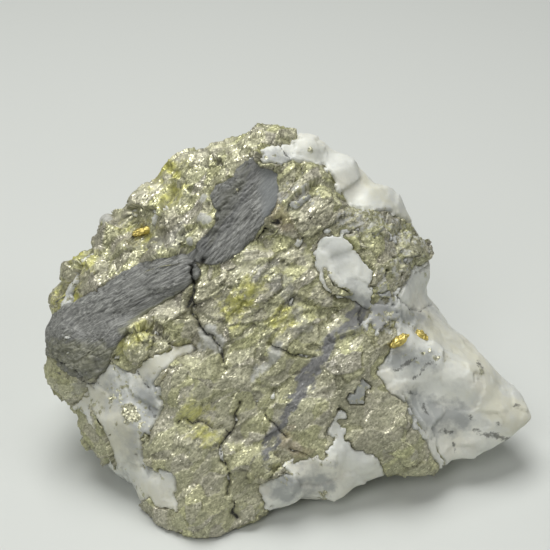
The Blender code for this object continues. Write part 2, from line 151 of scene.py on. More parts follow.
# How far up the face pyrite fills the strip between that outline and the slab's solid
STRIP_TOP = 58.0
SLAB_LIP = [(-24.4, 32.9, -14.0, 39.4, 0.9)]
SLAB_SMOOTH = [(-0.6, 58.0, -0.4, 52.0, 1.7)]
SLAB_ROUGH = [(-35.0, 29.5, -26.5, 28.0, 3.2), (-5.5, 59.0, -10.0, 49.0, 1.8)]
SLAB_DARK = [(-5.0, 59.0, -10.0, 49.0, 2.2), (-11.0, 48.0, -12.0, 45.5, 1.5)]
# Where the rock's surface is smooth
SMOOTHED = [(-27.0, 24.0, -20.0, 12.0, 5.0), (21.0, 31.0, 42.0, 19.0, 6.5), (24.0, 22.0, 30.0, 17.0, 5.0)]


def face_coordinates(points):
    """How far right, how far up the face and how far out of it the points lie."""
    local = points - FOOT
    return local @ ACROSS, local @ UP_FACE, local @ OUT_OF_FACE


# Noise

def random_numbers(cells, seed):
    """Three random numbers from 0 to 1 for each whole-numbered cell."""
    x, y, z = cells[:, 0], cells[:, 1], cells[:, 2]
    out = np.empty((len(cells), 3))
    for k in range(3):
        n = (x * 374761393 + y * 668265263 + z * 2147483647 + (seed * 3 + k) * 1274126177) & 0xFFFFFFFF
        n = ((n ^ (n >> 13)) * 1103515245 + 12345) & 0xFFFFFFFF
        n = ((n ^ (n >> 15)) * 2246822519) & 0xFFFFFFFF
        out[:, k] = (n ^ (n >> 16)) / 4294967295.0
    return out


def soft_noise(points, seed=0):
    """Smooth noise of wavelength one, from about -1 to 1."""
    cell = np.floor(points).astype(np.int64)
    part = points - cell
    blend = part ** 3 * (part * (part * 6 - 15) + 10)
    total = np.zeros(len(points))
    for corner in CORNERS:
        slope = random_numbers(cell + corner, seed) * 2 - 1
        weight = np.prod(np.where(corner, blend, 1 - blend), axis=1)
        total += weight * np.einsum("ij,ij->i", slope, part - corner)
    return total * 1.7


def fractal(points, length, octaves, seed=0, fade=0.5):
    """Noise on several scales, the largest of that length."""
    total = np.zeros(len(points))
    for i in range(octaves):
        total += fade ** i * soft_noise(points / length * 2 ** i + 17.3 * i, seed + i)
    return total


def cells(points, seed=0):
    """The offset from the nearest scattered centre, and that centre's random numbers."""
    base = np.floor(points).astype(np.int64)
    nearest = np.full(len(points), np.inf)
    offset = np.zeros((len(points), 3))
    chance = np.zeros((len(points), 3))
    for step in AROUND:
        cell = base + step
        numbers = random_numbers(cell, seed)
        away = points - cell - numbers
        distance = np.sqrt(np.einsum("ij,ij->i", away, away))
        closer = distance < nearest
        nearest[closer] = distance[closer]
        offset[closer] = away[closer]
        chance[closer] = numbers[closer]
    return offset, (chance * 7.31 + 0.17) % 1.0


def facets(points, size, tilt, seed=0):
    """Broken facets: in each cell the surface lies on a plane that is tilted its own way."""
    offset, chance = cells(points / size, seed)
    return np.einsum("ij,ij->i", offset, chance * 2 - 1) * size * tilt


def ridged(points, seed):
    """Noise with sharp ridges."""
    return 1 - 2 * np.abs(soft_noise(points, seed))


def ease(x):
    """Smooth steps from 0 to 1."""
    t = np.clip(x, 0.0, 1.0)
    return t * t * (3 - 2 * t)


# Meshes

def mesh_points(mesh):
    """The mesh's points, in millimetres."""
    flat = np.empty(len(mesh.vertices) * 3)
    mesh.vertices.foreach_get("co", flat)
    return flat.reshape(-1, 3) / MM


def mesh_normals(mesh):
    flat = np.empty(len(mesh.vertices) * 3)
    mesh.vertices.foreach_get("normal", flat)
    return flat.reshape(-1, 3)


def mesh_edges(mesh):
    flat = np.empty(len(mesh.edges) * 2, np.int32)
    mesh.edges.foreach_get("vertices", flat)
    return flat.reshape(-1, 2)


def mesh_triangles(mesh):
    mesh.calc_loop_triangles()
    flat = np.empty(len(mesh.loop_triangles) * 3, np.int32)
    mesh.loop_triangles.foreach_get("vertices", flat)
    return flat.reshape(-1, 3)


def set_points(mesh, points):
    """Moves the mesh's points to places in millimetres."""
    mesh.vertices.foreach_set("co", (points * MM).astype(np.float32).ravel())
    mesh.update()


def set_mask(mesh, name, values):
    """Keeps a number for each point of the mesh, which its material reads."""
    attribute = mesh.attributes.new(name, "FLOAT", "POINT")
    attribute.data.foreach_set("value", np.asarray(values, np.float32))


def set_place(mesh, values):
    """Keeps the place that textures are laid out by, in millimetres."""
    attribute = mesh.attributes.new("place", "FLOAT_VECTOR", "POINT")
    attribute.data.foreach_set("vector", np.asarray(values, np.float32).ravel())


def unit(vectors):
    """The vectors, each one long."""
    return vectors / np.maximum(np.linalg.norm(vectors, axis=1), 1e-9)[:, None]


def averaged(values, edges, rounds, share=0.5):
    """The values, or points, drawn towards those of their neighbours."""
    values = np.array(values, float)
    columns = values.reshape(len(values), -1)
    count = np.maximum(np.bincount(edges.ravel(), minlength=len(values)), 1)
    for _ in range(rounds):
        for column in columns.T:
            total = np.bincount(edges[:, 0], column[edges[:, 1]], len(values))
            total += np.bincount(edges[:, 1], column[edges[:, 0]], len(values))
            column += share * (total / count - column)
    return values


def largest_part(mesh):
    """Deletes all but the largest connected part of the mesh."""
    edges = mesh_edges(mesh)
    label = np.arange(len(mesh.vertices))
    while True:
        lower = np.minimum(label[edges[:, 0]], label[edges[:, 1]])
        new = label.copy()
        np.minimum.at(new, edges[:, 0], lower)
        np.minimum.at(new, edges[:, 1], lower)
        new = new[new]
        if np.array_equal(new, label):
            break
        label = new
    main = np.bincount(label).argmax()
    if (label != main).any():
        bm = bmesh.new()
        bm.from_mesh(mesh)
        bm.verts.ensure_lookup_table()
        bmesh.ops.delete(bm, geom=[bm.verts[i] for i in np.flatnonzero(label != main)], context="VERTS")
        bm.to_mesh(mesh)
        bm.free()


def regrown(obj, grow, grid):
    """Grows the object's mesh by that much and melts it into one closed mesh on an even grid."""
    swell = obj.modifiers.new("grow", "DISPLACE")
    swell.strength = grow * MM
    swell.mid_level = 0
    remesh = obj.modifiers.new("grid", "REMESH")
    remesh.mode = "VOXEL"
    remesh.voxel_size = grid * MM
    graph = bpy.context.evaluated_depsgraph_get()
    old = obj.data
    obj.data = bpy.data.meshes.new_from_object(obj.evaluated_get(graph))
    obj.modifiers.clear()
    bpy.data.meshes.remove(old)
    largest_part(obj.data)


def melted(name, nodes, grow, grid):
    """A new object: the nodes' solids, grown by that much and melted into one."""
    bm = bmesh.new()
    for node_name in nodes:
        bm.from_mesh(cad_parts[node_name].data)
    bmesh.ops.remove_doubles(bm, verts=bm.verts, dist=0.002 * MM)
    mesh = bpy.data.meshes.new(name)
    bm.to_mesh(mesh)
    bm.free()
    obj = bpy.data.objects.new(name, mesh)
    bpy.context.scene.collection.objects.link(obj)
    regrown(obj, grow, grid)
    return obj


def thin(obj):
    """Drops the triangles that matter least, where a piece has too many."""
    count = len(mesh_triangles(obj.data))
    if count > MOST_TRIANGLES:
        fewer = obj.modifiers.new("fewer", "DECIMATE")
        fewer.ratio = MOST_TRIANGLES / count
        graph = bpy.context.evaluated_depsgraph_get()
        old = obj.data
        obj.data = bpy.data.meshes.new_from_object(obj.evaluated_get(graph))
        obj.modifiers.clear()
        bpy.data.meshes.remove(old)


def tree_of(mesh):
    """A tree that finds places on a mesh, in millimetres."""
    return BVHTree.FromPolygons(mesh_points(mesh).tolist(), mesh_triangles(mesh).tolist())


def depth_in(tree, points):
    """How deep inside the closed mesh each point lies, below zero outside it."""
    depth = np.empty(len(points))
    for i, point in enumerate(points.tolist()):
        where, normal, _, distance = tree.find_nearest(point)
        depth[i] = -distance if (Vector(point) - where).dot(normal) > 0 else distance
    return depth


# Features of the front face

def line_distance(u, v, line):
    """The distance from each point to a line of points on the face."""
    nearest = np.full(len(u), np.inf)
    for (au, av), (bu, bv) in zip(line, line[1:]):
        du, dv = bu - au, bv - av
        t = np.clip(((u - au) * du + (v - av) * dv) / (du * du + dv * dv), 0, 1)
        nearest = np.minimum(nearest, np.hypot(u - au - t * du, v - av - t * dv))
    return nearest


def inside_shapes(points, shapes, wander=0.8):
    """How far inside the nearest capsule each point lies, in millimetres, with a wandering outline."""
    u, v, _ = face_coordinates(points)
    u = u + wander * soft_noise(points / 3.1, 61)
    v = v + wander * soft_noise(points / 3.1, 62)
    depth = np.full(len(u), -99.0)
    for au, av, bu, bv, radius in shapes:
        depth = np.maximum(depth, radius - line_distance(u, v, [(au, av), (bu + 1e-3, bv)]))
    return depth


def zone(points, facing, shapes, soft=1.2):
    """The share of a zone at each point, fading out over its edge."""
    return ease(inside_shapes(points, shapes) / soft * 0.5 + 0.5) * facing


def crack_relief(points, facing):
    """How deep the cracks and pits cut, and the distance to the nearest crack in half-widths of it."""
    u, v, _ = face_coordinates(points)
    u = u + 0.35 * soft_noise(points / 1.6, 51) + 0.12 * soft_noise(points / 0.6, 53)
    v = v + 0.35 * soft_noise(points / 1.6, 52) + 0.12 * soft_noise(points / 0.6, 54)
    depth = np.zeros(len(u))
    nearest = np.full(len(u), NO_CRACK)
    swell = 1 + 0.5 * soft_noise(points / 1.3, 55)
    for width, deep, line in CRACKS:
        distance = line_distance(u, v, line) / swell
        depth = np.maximum(depth, deep * np.exp(-(distance / (width + 0.16)) ** 2))
        nearest = np.minimum(nearest, distance / width)
    for pit_u, pit_v, radius, deep in PITS:
        distance = np.hypot(u - pit_u, v - pit_v) / swell
        depth = np.maximum(depth, deep * np.exp(-(distance / radius) ** 2))
        nearest = np.minimum(nearest, distance / radius * 1.3)
    return depth * facing, np.where(facing > 0.3, nearest, NO_CRACK)


# Minerals

def base_rock():
    """The whole rock's outer surface: all minerals melted together, and smoothed."""
    rock = melted("rock", MINERAL_NODES, ROCK_GROWTH, QUARTZ_GRID)
    set_points(rock.data, averaged(mesh_points(rock.data), mesh_edges(rock.data), 12))
    regrown(rock, -ROCK_SHRINKAGE, QUARTZ_GRID)
    links = mesh_edges(rock.data)
    points = averaged(mesh_points(rock.data), links, 12)
    smooth = ease(inside_shapes(points, SMOOTHED) / 4 + 0.5)
    set_points(rock.data, points + (averaged(points, links, 35) - points) * smooth[:, None])
    return rock


def area(a, b, c):
    """The areas of the triangles with those corners."""
    return np.linalg.norm(np.cross(b - a, c - a), axis=1) / 2


class Surface:
    """The rock's smooth outer surface, with the minerals' outlines at each of its points."""

    def __init__(self, mesh):
        self.points, self.triangles, self.links = mesh_points(mesh), mesh_triangles(mesh), mesh_edges(mesh)
        self.tree = tree_of(mesh)
        self.normals = unit(averaged(mesh_normals(mesh), self.links, 3))
        self.facing = ease(self.normals @ OUT_OF_FACE / 0.4 + 0.3)
        self.edges = mineral_edges(self.points, self.normals, self.facing)

    def nearest(self, points):
        """The nearest places on the surface, the points' depth under it, and the corners round each place."""
        place = np.empty((len(points), 3))
        index = np.empty(len(points), np.int64)
        depth = np.empty(len(points))
        for i, point in enumerate(points.tolist()):
            where, normal, number, distance = self.tree.find_nearest(point)
            place[i] = where
            index[i] = number
            depth[i] = -distance if (Vector(point) - where).dot(normal) > 0 else distance
        corners = self.triangles[index]
        a, b, c = (self.points[corners[:, k]] for k in range(3))
        weights = np.stack([area(place, b, c), area(a, place, c), area(a, b, place)], axis=1)
        return place, depth, (corners, weights / weights.sum(axis=1, keepdims=True))


def between(values, corners_weights):
    """The values at places between the surface's points, where they are known."""
    corners, weights = corners_weights
    return np.einsum("ij,ij...->i...", weights, values[corners])


def inside_outline(points, outline):
    """How far inside an outline on the face the points lie, below zero outside it."""
    u, v, _ = face_coordinates(points)
    u = u + 0.3 * soft_noise(points / 1.4, 63)
    v = v + 0.3 * soft_noise(points / 1.4, 64)
    inside = np.zeros(len(u), bool)
    closed = outline + outline[:1]
    for (au, av), (bu, bv) in zip(closed, closed[1:]):
        inside ^= ((av > v) != (bv > v)) & (u < (bu - au) * (v - av) / (bv - av) + au)
    return np.where(inside, 1, -1) * line_distance(u, v, closed)


def mineral_edges(points, normals, facing):
    """How far inside each mineral's ragged outline the points of the rock's surface lie, in millimetres."""
    below = points - normals * OUTLINE_DEPTH
    ragged = 0.45 * fractal(points, 3.4, 2, 31) + 0.3 * soft_noise(points / 1.2, 33)
    crumbs = soft_noise(points / 1.4, 34) + 0.7 * soft_noise(points / 0.7, 35)
    slab = inside_outline(points, UPPER_SLAB)
    _, v, _ = face_coordinates(points)
    strip = np.minimum(depth_in(trees["wall_rock_upper"], below) + 0.8, np.minimum(-slab, STRIP_TOP - v))
    edges = {}
    for name, tree in trees.items():
        edge = depth_in(tree, below)
        if "pyrite" in name:
            edge = np.maximum(edge, strip + 0.4) + 0.2 + ragged + 0.22 * crumbs
            edge = np.minimum(edge, 0.5 * crumbs - inside_shapes(points, QUARTZ_IN_PYRITE))
        else:
            edge -= 0.1 + 0.4 * ragged
        if name == "wall_rock_upper":
            edge = np.minimum(edge + 0.8, slab)
        if name == "pyrite_main_mass":
            speckled = zone(points, facing, SPECKLED)
            edge = np.minimum(edge, 2.0) * (1 - speckled) + speckled * (0.5 + 1.2 * crumbs)
        if name == "pyrite_left_edge":
            edge += 0.3 - 0.6 * ragged
        edges[name] = edge
    return edges


def stones(points, facing):
    """The share of a stone at each point, and how far it stands out."""
    u, v, _ = face_coordinates(points)
    share, rise = np.zeros(len(u)), np.zeros(len(u))
    for stone_u, stone_v, radius, height in STONES:
        near = facing * ease(1.25 * (1 - np.hypot(u - stone_u, v - stone_v) / radius))
        share, rise = np.maximum(share, near), np.maximum(rise, height * near)
    return share, rise


def highest(edges, kind):
    """How far inside the outline of a mineral of that kind the points lie."""
    return np.max([edge for name, edge in edges.items() if kind in name], axis=0)


def joint_cover(edges):
    """How far inside the minerals' joint outline the points lie: where two of them meet, that is no edge."""
    first, second = np.sort(list(edges.values()), axis=0)[:-3:-1]
    return np.maximum(first, first + second + 0.9)


def covered_by(bodies, points, normals):
    """Whether one of the bodies comes up to the surface at each point, or nearly so."""
    covered = np.zeros(len(points), bool)
    for body in bodies:
        tree = tree_of(body.data)
        for i in np.flatnonzero(~covered):
            inward = Vector(-normals[i])
            _, normal, _, _ = tree.ray_cast(Vector(points[i]) - inward * RAY_START, inward, RAY_LENGTH)
            covered[i] = normal is not None and normal.dot(inward) < 0
    return covered


def make_quartz(rock, bodies):
    """Milky quartz: the whole rock, sunk where another mineral covers it."""
    mesh = rock.data
    points, normals, links = surface.points, surface.normals, surface.links
    facing, pyrite = surface.facing, highest(surface.edges, "pyrite")
    covered = averaged(covered_by(bodies, points, normals).astype(float), links, 2)

    height = facets(points, 6.0, 0.07, 1)
    height += facets(points, 2.4, 0.05, 2)
    height += 0.06 * fractal(points, 3.0, 3, 3)
    stone, rise = stones(points, facing)
    height = height * (1 - stone) + rise
    groove, crack = crack_relief(points, facing)
    height -= 0.7 * groove
    height += 0.3 * ease(inside_shapes(points, PYRITE_IN_QUARTZ, 0.3) / 0.8) * facing
    height -= 0.3 * ease(inside_shapes(points, GOLD_BEDS, 0.2) / 0.6 + 1) * facing
    height *= ease(points[:, 2] / 0.6)
    # Painted shade: how far each point lies below its smoothed neighbours, which darkens the colour in
    # hollows
    painted_crevice_shade = averaged(height, links, 14) - height
    inward = -unit(averaged(normals, links, 30))
    sunk = ease(covered * 1.8 - 0.7)
    moved = points + normals * height[:, None] + QUARTZ_SINK * inward * sunk[:, None]
    moved[:, 2] = np.maximum(moved[:, 2], 0.02 * ease(points[:, 2] / 0.3))
    set_points(mesh, moved)
    set_place(mesh, points)
    set_mask(mesh, "painted_crevice_shade", painted_crevice_shade)
    set_mask(mesh, "crack", crack)
    near_pyrite = ease(pyrite / 2.0 + 0.9) * facing
    set_mask(mesh, "grains", np.maximum(zone(points, facing, MOTTLED, 2.0), near_pyrite))
    set_mask(mesh, "pyrite", np.where(facing > 0.3, inside_shapes(points, PYRITE_IN_QUARTZ, 0.3), -9))
    set_mask(mesh, "blue", np.maximum(zone(points, facing, BLUE_QUARTZ, 2.0), 0.4 * ease(pyrite / 1.2 + 1)))
    set_mask(mesh, "vein", zone(points, facing, VEIN + SPECKLED, 1.6))
    set_mask(mesh, "cream", zone(points, facing, CREAM_QUARTZ, 3.0))
    set_mask(mesh, "dark", zone(points, facing, DARK_MARKS, 0.5))
    rock.name = "quartz"
    thin(rock)
    return rock


def make_mineral(name, nodes, grid, direction, stretch, relief):
    """A mineral with its outside on the rock's surface, in relief, and its walls sunk into the quartz.

    The first of the nodes is the mineral's own, and the others are what it goes on under.
    """
    body = melted(name, nodes, MINERAL_GROWTH, grid)
    mesh, node_name = body.data, nodes[0]
    points = mesh_points(mesh)
    place, depth, at = surface.nearest(points)
    shown = depth < 0.05
    points[shown] = place[shown]
    links = mesh_edges(mesh)
    normals, facing = unit(between(surface.normals, at)), between(surface.facing, at)
    edges = {key: between(edge, at) for key, edge in surface.edges.items()}
    if "wall_rock" in node_name:
        points = flattened(points, shown & (facing > 0.5), edges[node_name])

    u, v, w = face_coordinates(points)
    angle = math.radians(direction)
    along = u * math.cos(angle) + v * math.sin(angle)
    aside = v * math.cos(angle) - u * math.sin(angle) + 0.3 * soft_noise(points / 6.0, 20)
    stretched = np.stack([along / stretch, aside, w], axis=1)
    height, masks = relief(points, stretched, facing)
    groove, crack = crack_relief(points, facing)
    height -= groove
    if "pyrite" in node_name:
        height -= PYRITE_SINK * ease(-joint_cover(edges) / 0.6)
        height -= PYRITE_UNDER_SLAB * ease(highest(edges, "wall_rock") / 0.5)
    else:
        height -= SLAB_SINK * ease(-edges[node_name] / 0.6)
    height = np.where(points[:, 2] < 0.5, np.minimum(height, 0), height)
    show = averaged(shown.astype(float), links, 1)
    moved = points + normals * (height * show)[:, None]
    moved[:, 2] = np.maximum(moved[:, 2], 0.01)
    set_points(mesh, moved)
    set_place(mesh, stretched)
    # Painted shade: how far each point lies below its smoothed neighbours, which darkens the colour in
    # hollows
    set_mask(mesh, "painted_crevice_shade", averaged(height, links, 14) - height)
    set_mask(mesh, "crack", crack)
    for key, values in masks.items():
        set_mask(mesh, key, values)
    thin(body)
    return body


def flattened(points, shown, edge):
    """Draws a slab's rounded surface out to the plane of its middle."""
    u, v, w = face_coordinates(points)
    plane = np.stack([np.ones(len(u)), u, v, u * v], axis=1)
    middle = shown & (edge > 0.8)
    fit = np.linalg.lstsq(plane[middle], w[middle], rcond=None)[0]
    rise = np.clip(plane @ fit - w, -0.6, 0.6) * 0.85
    return points + (rise * shown)[:, None] * OUT_OF_FACE


def pyrite_relief(points, stretched, facing):
    """Broken pyrite: tilted planes with ledges between them, broken into smaller ones and into grains."""
    wavy = stretched + 0.5 * np.stack([soft_noise(points / 3.0, seed) for seed in (8, 12, 13)], axis=1)
    _, v, _ = face_coordinates(points)
    calm = np.maximum(zone(points, facing, VEIN + QUARTZ_FILM, 1.6), 0.7 * facing * ease((36 - v) / 14))
    height = facets(wavy, BROAD_FACETS, 0.24, BROAD_SEED)
    height += facets(wavy, SMALL_FACETS, 0.24, SMALL_SEED)
    height += facets(wavy, 1.1, 0.19, 10)
    height += facets(stretched, 0.5, 0.18, 12)
    height = height * (1 - 0.5 * calm) + 0.15
    stone, rise = stones(points, facing)
    height = height * (1 - 0.7 * stone) + rise
    _, broad = cells(wavy / BROAD_FACETS, BROAD_SEED)
    _, small = cells(wavy / SMALL_FACETS, SMALL_SEED)
    return height, {
        "shade": (5.7 * (broad[:, 0] + small[:, 1])) % 1.0 * 0.6 + (9.1 * small[:, 2]) % 1.0 * 0.4,
        "tint": (11.3 * (broad[:, 1] + 0.2 * small[:, 0])) % 1.0,
        "calm": calm,
        "stone": stone,
        "greyed": zone(points, facing, GREYED, 2.0),
        "painted_highlight": zone(points, facing, PAINTED_HIGHLIGHTS, 1.6),
        "tarnish": zone(points, facing, TARNISH, 3.0),
        "browned": zone(points, facing, BROWNED, 1.6),
        "vein": zone(points, facing, VEIN, 1.6),
        "film": zone(points, facing, QUARTZ_FILM, 0.8),
        "speckled": zone(points, facing, SPECKLED, 2.0),
    }


def slab_relief(points, stretched, facing):
    """Striated wall rock, in fibres and thin broken steps."""
    rough = zone(points, facing, SLAB_ROUGH, 2.0)
    smooth = zone(points, facing, SLAB_SMOOTH, 1.0)
    fibres = 0.05 * ridged(stretched / 1.2, 21) + 0.07 * ridged(stretched / 0.45, 22)
    fibres += facets(stretched, 1.5, 0.08, 23) + facets(stretched * (2, 1, 1), 0.8, 0.12, 25)
    height = fibres * (1 - smooth)
    height += 0.08 * fractal(points, 3.0, 2, 24)
    crevices = ease(1 - np.abs(soft_noise(stretched / 1.7, 28)) / 0.07)
    crevices += ease(1 - np.abs(soft_noise(stretched * (2, 1, 1) / 1.3, 29)) / 0.07)
    height -= 0.14 * crevices * (1 - smooth)
    height += rough * (facets(points, 1.3, 0.25, 26) + facets(points, 0.6, 0.35, 27) - 0.1)
    return height + 0.05, {"lip": zone(points, facing, SLAB_LIP, 0.8), "rough": rough, "smooth": smooth,
                           "dark": zone(points, facing, SLAB_DARK, 2.0)}


def make_gold(name, node_name, lift, direction, stretch):
    """A hackly grain of gold, drawn out across the face and lifted out of the rock a little."""
    body = melted(name, [node_name], GOLD_GROWTH, GOLD_GRID)
    mesh = body.data
    points, normals = mesh_points(mesh), mesh_normals(mesh)
    height = facets(points, 0.7, 0.35, 41) + 0.12 * fractal(points, 0.6, 2, 42)
    points += normals * height[:, None]
    along = math.cos(math.radians(direction)) * ACROSS + math.sin(math.radians(direction)) * UP_FACE
    aside = np.cross(OUT_OF_FACE, along)
    away = points - points.mean(axis=0)
    points += np.outer(away @ along * (stretch - 1), along)
    points += np.outer(away @ aside * (1 / stretch - 1), aside)
    set_points(mesh, points + lift * OUT_OF_FACE)
    return body


# Materials

def node(tree, kind, inputs=None, **settings):
    """A new shader node, its sockets linked or set."""
    made = tree.nodes.new("ShaderNode" + kind)
    for key, value in settings.items():
        setattr(made, key, value)
    for key, value in (inputs or {}).items():
        connect(tree, made.inputs[key], value)
    return made


def connect(tree, socket, value):
    if isinstance(value, bpy.types.NodeSocket):
        tree.links.new(value, socket)
    elif isinstance(value, tuple) and len(value) == 3 and socket.type == "RGBA":
        socket.default_value = (*value, 1.0)
    else:
        socket.default_value = value


def new_material(name):
    material = bpy.data.materials.new(name)
    material.use_nodes = True
    tree = material.node_tree
    return material, tree, tree.nodes["Principled BSDF"]


def ramp(tree, factor, stops):
    """Colours or greys along the factor, as (position, colour) stops."""
    made = node(tree, "ValToRGB", {"Fac": factor})
    elements = made.color_ramp.elements
    while len(elements) < len(stops):
        elements.new(0.5)
    for element, (position, colour) in zip(elements, stops):
        element.position = position
        element.color = (*colour, 1.0) if isinstance(colour, tuple) else (colour, colour, colour, 1.0)
    return made.outputs["Color"]


def mix(tree, factor, a, b, blend="MIX"):
    made = node(tree, "Mix", data_type="RGBA", blend_type=blend)
    for index, value in ((0, factor), (6, a), (7, b)):
        connect(tree, made.inputs[index], value)
    return made.outputs[2]


def sums(tree, operation, a, b=0.0, c=0.0, clamp=False):
    made = node(tree, "Math", operation=operation, use_clamp=clamp)
    for socket, value in zip(made.inputs, (a, b, c)):
        connect(tree, socket, value)
    return made.outputs[0]


def vectors(tree, operation, a, b=None, scale=None):
    made = node(tree, "VectorMath", operation=operation)
    connect(tree, made.inputs[0], a)
    if b is not None:
        connect(tree, made.inputs[1], b)
    if scale is not None:
        made.inputs["Scale"].default_value = scale
    return made.outputs["Vector"]


def mask(tree, name):
    return node(tree, "Attribute", attribute_name=name).outputs["Fac"]


def laid_out(tree):
    """The place that textures are laid out by."""
    return node(tree, "Attribute", attribute_name="place").outputs["Vector"]


def noise(tree, size, detail=4.0, roughness=0.6):
    """Procedural noise whose lumps are that many millimetres across."""
    inputs = {"Vector": laid_out(tree), "Scale": 1 / size, "Detail": detail, "Roughness": roughness}
    return node(tree, "TexNoise", inputs)


def grains(tree, size):
    """Procedural grains that many millimetres across, each with its own random colour."""
    wobble = vectors(tree, "SCALE", noise(tree, size * 1.5, 2.0).outputs["Color"], scale=size * 0.7)
    place = vectors(tree, "ADD", laid_out(tree), wobble)
    return node(tree, "TexVoronoi", {"Vector": place, "Scale": 1 / size}).outputs["Color"]


def glinting_normal(tree, size, tilt):
    """A normal that tilts its own way in each grain."""
    normal = node(tree, "NewGeometry").outputs["Normal"]
    random = vectors(tree, "SUBTRACT", grains(tree, size), (0.5, 0.5, 0.5))
    tilted = vectors(tree, "ADD", normal, vectors(tree, "SCALE", random, scale=tilt))
    return vectors(tree, "NORMALIZE", tilted)


def near_crack(tree):
    """The share of crack: whole at its middle, gone past its side."""
    wobble = noise(tree, 0.3, 2.0).outputs["Fac"]
    distance = sums(tree, "MULTIPLY_ADD", wobble, 1.2, mask(tree, "crack"))
    return sums(tree, "SUBTRACT", 2.0, distance, clamp=True)


def patchy(tree, name, size=1.6, sharpness=3.0):
    """The share of a zone at each point, with a patchy edge and nothing outside it."""
    patches = noise(tree, size, 4.0).outputs["Fac"]
    share = sums(tree, "SUBTRACT", mask(tree, name), 0.5)
    share = sums(tree, "MULTIPLY_ADD", sums(tree, "SUBTRACT", patches, 0.5), 2.2, share)
    share = sums(tree, "MULTIPLY_ADD", share, sharpness, 0.2, clamp=True)
    return sums(tree, "MULTIPLY", share, sums(tree, "MULTIPLY", mask(tree, name), 5.0, clamp=True))


def stained(tree, colour, share, strength, stain):
    """The colour with a stain over that share of it."""
    return mix(tree, sums(tree, "MULTIPLY", share, strength), colour, stain)


def pyrite_look(tree):
    """Dusty olive-gold metal in small grains: its colour, painted pale where grains glint, the share of
    glinting grains, and its fine noise.
    """
    fine = noise(tree, 0.5, 4.0, 0.7).outputs["Fac"]
    each = node(tree, "SeparateColor", {"Color": grains(tree, 0.2)})
    colour = ramp(tree, noise(tree, 5.0, 5.0, 0.6).outputs["Fac"], [(0.32, (0.33, 0.32, 0.225)),
                                                                    (0.5, (0.43, 0.425, 0.29)),
                                                                    (0.68, (0.50, 0.50, 0.33))])
    colour = mix(tree, 0.8, colour, ramp(tree, fine, [(0.36, 0.55), (0.62, 1.25)]), "MULTIPLY")
    colour = mix(tree, 0.6, colour, ramp(tree, each.outputs[2], [(0.0, 0.6), (1.0, 1.3)]), "MULTIPLY")
    glints = sums(tree, "MULTIPLY_ADD", noise(tree, 1.6, 4.0).outputs["Fac"], 1.2, each.outputs[0])
    glints = sums(tree, "MULTIPLY_ADD", sums(tree, "SUBTRACT", glints, 1.38), 8.0, 0.0, clamp=True)
    # Painted glints: the glinting grains are coloured pale cream, partly their own paler colour and partly
    # painted highlight
    colour = stained(tree, colour, glints, 0.7, (0.80, 0.78, 0.58))
    return colour, glints, fine


def pyrite_material():
    material, tree, shader = new_material("pyrite")
    colour, glints, fine = pyrite_look(tree)
    tint = ramp(tree, mask(tree, "tint"), [(0.0, (0.96, 0.93, 1.06)), (0.3, (1.0, 0.98, 1.02)),
                                           (0.6, (1.0, 1.0, 0.94)), (1.0, (1.02, 1.03, 0.8))])
    colour = mix(tree, 0.9, colour, tint, "MULTIPLY")
    colour = mix(tree, 0.8, colour, ramp(tree, mask(tree, "shade"), [(0.0, 0.72), (1.0, 1.25)]), "MULTIPLY")
    colour = stained(tree, colour, mask(tree, "calm"), 0.3, (0.40, 0.395, 0.28))
    # Painted highlight: lighter cream patches where planes and grains catch the light
    colour = stained(tree, colour, patchy(tree, "painted_highlight"), 0.5, (0.68, 0.66, 0.50))
    colour = stained(tree, colour, patchy(tree, "greyed"), 0.5, (0.34, 0.335, 0.31))
    colour = stained(tree, colour, patchy(tree, "tarnish", 1.0, 1.5), 0.75, (0.58, 0.57, 0.13))
    colour = stained(tree, colour, patchy(tree, "browned"), 0.4, (0.40, 0.32, 0.21))
    vein = patchy(tree, "vein", 1.0)
    colour = stained(tree, colour, vein, 0.92, (0.15, 0.152, 0.155))
    # Painted shade: the colour darkens in hollows and creases
    colour = mix(tree, 0.7, colour, ramp(tree, mask(tree, "painted_crevice_shade"), [(0.0, 1.0), (0.4, 0.5)]), "MULTIPLY")

    specks = noise(tree, 0.8, 4.0, 0.7).outputs["Fac"]
    share = sums(tree, "MULTIPLY_ADD", mask(tree, "speckled"), 0.17, specks)
    quartz = sums(tree, "MULTIPLY_ADD", sums(tree, "SUBTRACT", share, 0.66), 14.0, 0.0, clamp=True)
    quartz = sums(tree, "MAXIMUM", quartz, patchy(tree, "film", 1.2, 2.0))
    quartz = sums(tree, "MAXIMUM", quartz, patchy(tree, "stone", 0.9))
    colour = stained(tree, colour, quartz, 0.8, (0.47, 0.475, 0.44))
    crack = near_crack(tree)
    # Painted shade: the cracks are coloured near black, standing in for the shade inside them
    colour = mix(tree, crack, colour, (0.025, 0.024, 0.02))
    connect(tree, shader.inputs["Base Color"], colour)
    dull = sums(tree, "MAXIMUM", crack, sums(tree, "MAXIMUM", quartz, sums(tree, "MULTIPLY", vein, 0.6)))
    dull = sums(tree, "MAXIMUM", dull, sums(tree, "MULTIPLY", mask(tree, "calm"), 0.3))
    metal = sums(tree, "MULTIPLY_ADD", glints, 0.4, 0.4)
    connect(tree, shader.inputs["Metallic"], sums(tree, "SUBTRACT", metal, dull, clamp=True))
    connect(tree, shader.inputs["Roughness"], sums(tree, "MULTIPLY_ADD", glints, -0.2, 0.55))
    normal = glinting_normal(tree, 0.2, 0.42)
    bump = node(tree, "Bump", {"Height": fine, "Strength": 0.6, "Distance": 0.08 * MM, "Normal": normal})
    connect(tree, shader.inputs["Normal"], bump.outputs["Normal"])
    return material


